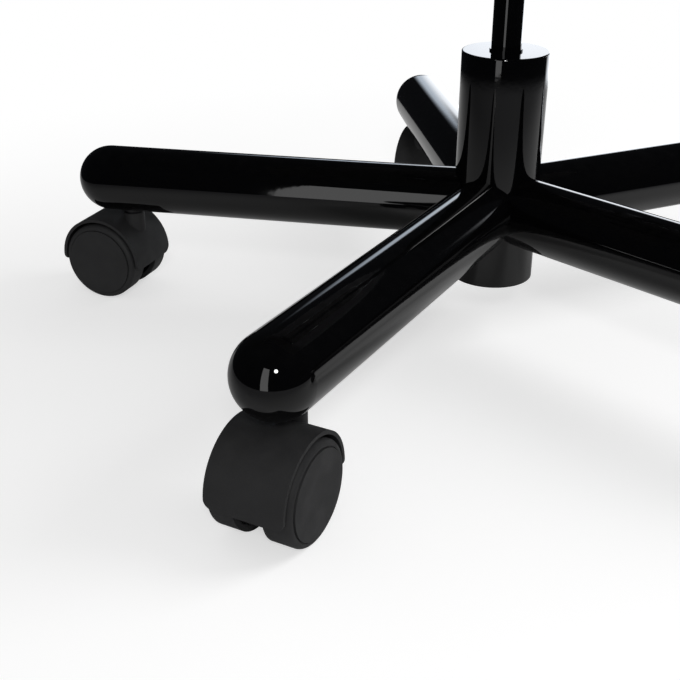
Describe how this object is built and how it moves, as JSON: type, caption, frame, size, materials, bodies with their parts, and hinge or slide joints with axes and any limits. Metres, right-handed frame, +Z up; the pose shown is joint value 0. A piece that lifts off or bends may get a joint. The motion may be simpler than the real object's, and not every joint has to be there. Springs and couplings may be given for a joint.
{
  "type": "office chair",
  "caption": "Swivel office chair: star base of fat domed black tubes on hooded twin-wheel casters, slim lift column, padded seat and reclining padded back.",
  "frame": {"origin": "floor level under the hub's axis", "axes": "+Z up along the column, -Y towards the front of the seat and along the front leg, +X to the side of the height lever"},
  "size_m": [0.6469, 0.672, 0.9013],
  "materials": {
    "gloss_black_paint": "gloss",
    "caster_nylon": "fine grain",
    "black_plastic": "satin grain",
    "plain_steel": "bright zinc",
    "blackened_steel": "black oxide",
    "bare_aluminium": "machined",
    "rubber": "matt",
    "upholstery": "woven"
  },
  "bodies": {
    "base": {"leg_1": "gloss_black_paint", "leg_2": "gloss_black_paint", "leg_3": "gloss_black_paint", "leg_4": "gloss_black_paint", "leg_5": "gloss_black_paint", "hub_tube": "gloss_black_paint", "guide_bush": "gloss_black_paint", "hub_bottom_cap": "gloss_black_paint", "thrust_bearing": "plain_steel", "caster_sockets": "black_plastic", "caster_1_stem": "blackened_steel", "caster_2_stem": "blackened_steel", "caster_3_stem": "blackened_steel", "caster_4_stem": "blackened_steel", "caster_5_stem": "blackened_steel"},
    "caster_1": {"caster_1_hood": "caster_nylon", "caster_1_axle": "plain_steel"},
    "caster_1_left": {"caster_1_wheel_left": "caster_nylon"},
    "caster_1_right": {"caster_1_wheel_right": "caster_nylon"},
    "caster_2": {"caster_2_hood": "caster_nylon", "caster_2_axle": "plain_steel"},
    "caster_2_left": {"caster_2_wheel_left": "caster_nylon"},
    "caster_2_right": {"caster_2_wheel_right": "caster_nylon"},
    "caster_3": {"caster_3_hood": "caster_nylon", "caster_3_axle": "plain_steel"},
    "caster_3_left": {"caster_3_wheel_left": "caster_nylon"},
    "caster_3_right": {"caster_3_wheel_right": "caster_nylon"},
    "caster_4": {"caster_4_hood": "caster_nylon", "caster_4_axle": "plain_steel"},
    "caster_4_left": {"caster_4_wheel_left": "caster_nylon"},
    "caster_4_right": {"caster_4_wheel_right": "caster_nylon"},
    "caster_5": {"caster_5_hood": "caster_nylon", "caster_5_axle": "plain_steel"},
    "caster_5_left": {"caster_5_wheel_left": "caster_nylon"},
    "caster_5_right": {"caster_5_wheel_right": "caster_nylon"},
    "lift": {"lift_rod": "plain_steel", "lift_piston": "bare_aluminium", "rod_clip": "plain_steel"},
    "seat": {"column_tube": "gloss_black_paint", "rod_seal": "rubber", "mechanism_tray": "gloss_black_paint", "seat_bolts": "plain_steel", "lever_pin": "plain_steel", "seat_pan": "black_plastic", "seat_cushion": "upholstery", "back_hinge_pin": "plain_steel"},
    "valve": {"valve_pin": "plain_steel"},
    "lever": {"height_lever": "plain_steel", "lever_grip": "black_plastic"},
    "back_frame": {"back_carrier": "gloss_black_paint", "recline_bush": "rubber", "back_upright": "gloss_black_paint", "upright_plug": "black_plastic"},
    "slider": {"back_slider": "black_plastic"},
    "knob": {"back_clamp_knob": "black_plastic"},
    "backrest": {"back_bracket": "gloss_black_paint", "back_pivot_pin": "plain_steel", "back_screws": "plain_steel", "back_shell": "black_plastic", "back_pad": "upholstery"}
  },
  "joints": [
    {"name": "caster_1_swivel", "type": "hinge", "parent": "base", "child": "caster_1", "pos_m": [0, -0.2805, 0.06], "axis": [0, 0, 1], "continuous": true},
    {"name": "caster_1_roll_left", "type": "hinge", "parent": "caster_1", "child": "caster_1_left", "pos_m": [0.00066, -0.29949, 0.03], "axis": [0.9994, 0.0349, 0], "continuous": true},
    {"name": "caster_1_roll_right", "type": "hinge", "parent": "caster_1", "child": "caster_1_right", "pos_m": [0.00066, -0.29949, 0.03], "axis": [0.9994, 0.0349, 0], "continuous": true},
    {"name": "caster_2_swivel", "type": "hinge", "parent": "base", "child": "caster_2", "pos_m": [0.26677, -0.08668, 0.06], "axis": [0, 0, 1], "continuous": true},
    {"name": "caster_2_roll_left", "type": "hinge", "parent": "caster_2", "child": "caster_2_left", "pos_m": [0.28385, -0.09501, 0.03], "axis": [0.4384, 0.8988, 0], "continuous": true},
    {"name": "caster_2_roll_right", "type": "hinge", "parent": "caster_2", "child": "caster_2_right", "pos_m": [0.28385, -0.09501, 0.03], "axis": [0.4384, 0.8988, 0], "continuous": true},
    {"name": "caster_3_swivel", "type": "hinge", "parent": "base", "child": "caster_3", "pos_m": [0.16487, 0.22693, 0.06], "axis": [0, 0, 1], "continuous": true},
    {"name": "caster_3_roll_left", "type": "hinge", "parent": "caster_3", "child": "caster_3_left", "pos_m": [0.17011, 0.24519, 0.03], "axis": [-0.9613, 0.2756, 0], "continuous": true},
    {"name": "caster_3_roll_right", "type": "hinge", "parent": "caster_3", "child": "caster_3_right", "pos_m": [0.17011, 0.24519, 0.03], "axis": [-0.9613, 0.2756, 0], "continuous": true},
    {"name": "caster_4_swivel", "type": "hinge", "parent": "base", "child": "caster_4", "pos_m": [-0.16487, 0.22693, 0.06], "axis": [0, 0, 1], "continuous": true},
    {"name": "caster_4_roll_left", "type": "hinge", "parent": "caster_4", "child": "caster_4_left", "pos_m": [-0.16686, 0.24582, 0.03], "axis": [-0.9945, -0.1045, 0], "continuous": true},
    {"name": "caster_4_roll_right", "type": "hinge", "parent": "caster_4", "child": "caster_4_right", "pos_m": [-0.16686, 0.24582, 0.03], "axis": [-0.9945, -0.1045, 0], "continuous": true},
    {"name": "caster_5_swivel", "type": "hinge", "parent": "base", "child": "caster_5", "pos_m": [-0.26677, -0.08668, 0.06], "axis": [0, 0, 1], "continuous": true},
    {"name": "caster_5_roll_left", "type": "hinge", "parent": "caster_5", "child": "caster_5_left", "pos_m": [-0.28559, -0.08932, 0.03], "axis": [0.1392, -0.9903, 0], "continuous": true},
    {"name": "caster_5_roll_right", "type": "hinge", "parent": "caster_5", "child": "caster_5_right", "pos_m": [-0.28559, -0.08932, 0.03], "axis": [0.1392, -0.9903, 0], "continuous": true},
    {"name": "seat_swivel", "type": "hinge", "parent": "base", "child": "lift", "pos_m": [0, 0, 0.1], "axis": [0, 0, 1], "continuous": true},
    {"name": "seat_height", "type": "slide", "parent": "lift", "child": "seat", "axis": [0, 0, 1], "range_m": [-0.05, 0.05]},
    {"name": "lever_lift", "type": "hinge", "parent": "seat", "child": "lever", "pos_m": [0.035, 0, 0.3893], "axis": [0, -1, 0], "range_deg": [0, 5]},
    {"name": "valve_press", "type": "slide", "parent": "seat", "child": "valve", "axis": [0, 0, -1], "range_m": [0, 0.0031], "stiffness_N_per_m": 300, "springref_m": -0.004},
    {"name": "back_recline", "type": "hinge", "parent": "seat", "child": "back_frame", "pos_m": [0, 0.113, 0.368], "axis": [-1, 0, 0], "range_deg": [0, 18], "stiffness_Nm_per_rad": 45, "springref_deg": -20.05},
    {"name": "back_height", "type": "slide", "parent": "back_frame", "child": "slider", "axis": [0, 0.1045, 0.9945], "range_m": [-0.05, 0.045]},
    {"name": "clamp_turn", "type": "hinge", "parent": "slider", "child": "knob", "pos_m": [0, 0.29203, 0.72008], "axis": [0, 0.9945, -0.1045], "range_deg": [0, 360]},
    {"name": "back_tilt", "type": "hinge", "parent": "slider", "child": "backrest", "pos_m": [0, 0.24827, 0.72468], "axis": [1, 0, 0], "range_deg": [-6, 6]}
  ],
  "couplings": [
    {"joint": "valve_press", "follows": "lever_lift", "m_per_rad": 0.035}
  ]
}
